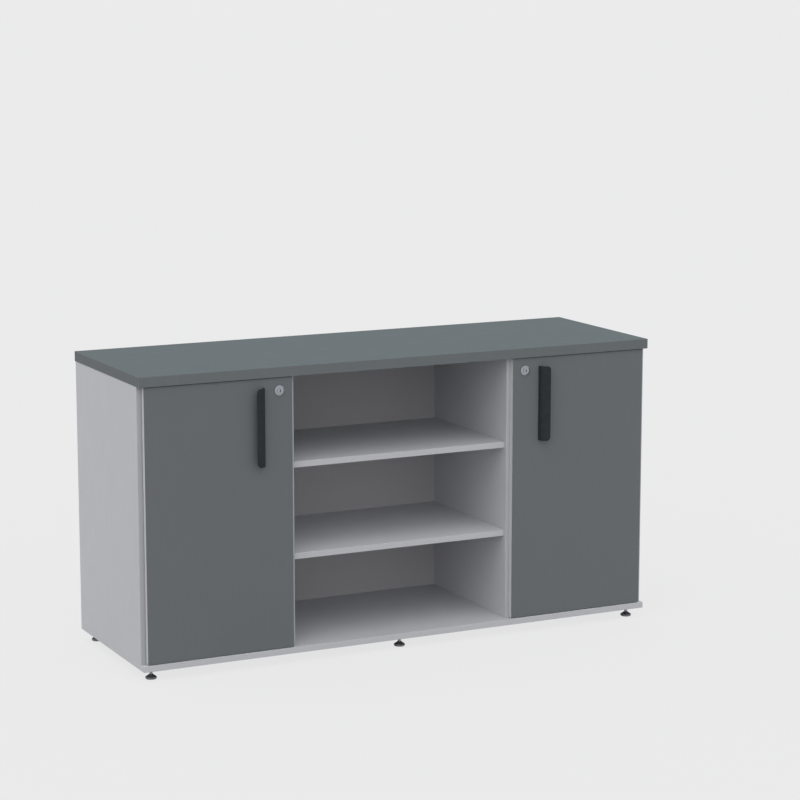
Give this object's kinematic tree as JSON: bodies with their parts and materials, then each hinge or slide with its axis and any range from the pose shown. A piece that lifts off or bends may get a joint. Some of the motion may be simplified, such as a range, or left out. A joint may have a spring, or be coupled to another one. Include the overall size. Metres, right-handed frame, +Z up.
{
  "type": "office credenza",
  "caption": "Low office cabinet with a worktop, a lockable door cupboard at each end, an open shelved niche between them and levelling feet.",
  "frame": {"origin": "on the floor, at the middle of the footprint from the handles' front faces to the worktop's back edge", "axes": "+X to the right seen from the front, along the width; +Y to the back; +Z up"},
  "size_m": [1.4, 0.4746, 0.743],
  "materials": {
    "grey_board": "melamine-faced particle board, light grey, matt with a fine print",
    "slate_board": "melamine-faced particle board, slate grey, fine texture",
    "slate_band": "glued plastic edge band, slate grey",
    "grey_band": "glued plastic edge band, light grey",
    "black_handle": "charcoal powder coat",
    "nickel": "nickel-plated pressed steel",
    "chrome": "satin chrome",
    "foot_plastic": "moulded dark plastic"
  },
  "bodies": {
    "carcass": {"top_panel": "slate_board", "top_edge_band": "slate_band", "bottom_panel": "grey_board", "left_side_panel": "grey_board", "left_divider": "grey_board", "right_side_panel": "grey_board", "right_divider": "grey_board", "left_back_panel": "grey_board", "centre_back_panel": "grey_board", "right_back_panel": "grey_board", "lower_open_shelf": "grey_board", "upper_open_shelf": "grey_board", "left_inner_shelf": "grey_board", "left_shelf_support_outer_front": "nickel", "left_shelf_support_outer_back": "nickel", "left_shelf_support_inner_front": "nickel", "left_shelf_support_inner_back": "nickel", "right_inner_shelf": "grey_board", "right_shelf_support_outer_front": "nickel", "right_shelf_support_outer_back": "nickel", "right_shelf_support_inner_front": "nickel", "right_shelf_support_inner_back": "nickel", "left_lower_hinge_arm": "nickel", "left_upper_hinge_arm": "nickel", "right_lower_hinge_arm": "nickel", "right_upper_hinge_arm": "nickel", "left_lock_strike": "nickel", "right_lock_strike": "nickel"},
    "left_door": {"left_door": "slate_board", "left_door_edge_band": "grey_band", "left_handle": "black_handle", "left_lower_hinge_cup": "nickel", "left_lower_hinge_pin": "nickel", "left_upper_hinge_cup": "nickel", "left_upper_hinge_pin": "nickel", "left_lock_housing": "chrome"},
    "right_door": {"right_door": "slate_board", "right_door_edge_band": "grey_band", "right_handle": "black_handle", "right_lower_hinge_cup": "nickel", "right_lower_hinge_pin": "nickel", "right_upper_hinge_cup": "nickel", "right_upper_hinge_pin": "nickel", "right_lock_housing": "chrome"},
    "left_lock": {"left_lock_core": "chrome", "left_lock_cam": "nickel"},
    "right_lock": {"right_lock_core": "chrome", "right_lock_cam": "nickel"},
    "front_left_foot": {"front_left_foot_base": "foot_plastic", "front_left_foot_stem": "nickel"},
    "front_middle_foot": {"front_middle_foot_base": "foot_plastic", "front_middle_foot_stem": "nickel"},
    "front_right_foot": {"front_right_foot_base": "foot_plastic", "front_right_foot_stem": "nickel"},
    "back_left_foot": {"back_left_foot_base": "foot_plastic", "back_left_foot_stem": "nickel"},
    "back_middle_foot": {"back_middle_foot_base": "foot_plastic", "back_middle_foot_stem": "nickel"},
    "back_right_foot": {"back_right_foot_base": "foot_plastic", "back_right_foot_stem": "nickel"}
  },
  "joints": [
    {"name": "left_door_swing", "type": "hinge", "parent": "carcass", "child": "left_door", "pos_m": [-0.6807, -0.2103, 0.3795], "axis": [0, 0, -1], "range_deg": [0, 100]},
    {"name": "right_door_swing", "type": "hinge", "parent": "carcass", "child": "right_door", "pos_m": [0.6807, -0.2103, 0.3795], "axis": [0, 0, 1], "range_deg": [0, 100]},
    {"name": "left_lock_turn", "type": "hinge", "parent": "left_door", "child": "left_lock", "pos_m": [-0.3392, -0.2173, 0.6853], "axis": [0, -1, 0], "range_deg": [0, 90]},
    {"name": "right_lock_turn", "type": "hinge", "parent": "right_door", "child": "right_lock", "pos_m": [0.3392, -0.2173, 0.6853], "axis": [0, 1, 0], "range_deg": [0, 90]},
    {"name": "front_left_foot_level", "type": "slide", "parent": "carcass", "child": "front_left_foot", "axis": [0, 0, 1], "range_m": [-0.005, 0.0045]},
    {"name": "front_middle_foot_level", "type": "slide", "parent": "carcass", "child": "front_middle_foot", "axis": [0, 0, 1], "range_m": [-0.005, 0.0045]},
    {"name": "front_right_foot_level", "type": "slide", "parent": "carcass", "child": "front_right_foot", "axis": [0, 0, 1], "range_m": [-0.005, 0.0045]},
    {"name": "back_left_foot_level", "type": "slide", "parent": "carcass", "child": "back_left_foot", "axis": [0, 0, 1], "range_m": [-0.005, 0.0045]},
    {"name": "back_middle_foot_level", "type": "slide", "parent": "carcass", "child": "back_middle_foot", "axis": [0, 0, 1], "range_m": [-0.005, 0.0045]},
    {"name": "back_right_foot_level", "type": "slide", "parent": "carcass", "child": "back_right_foot", "axis": [0, 0, 1], "range_m": [-0.005, 0.0045]}
  ]
}
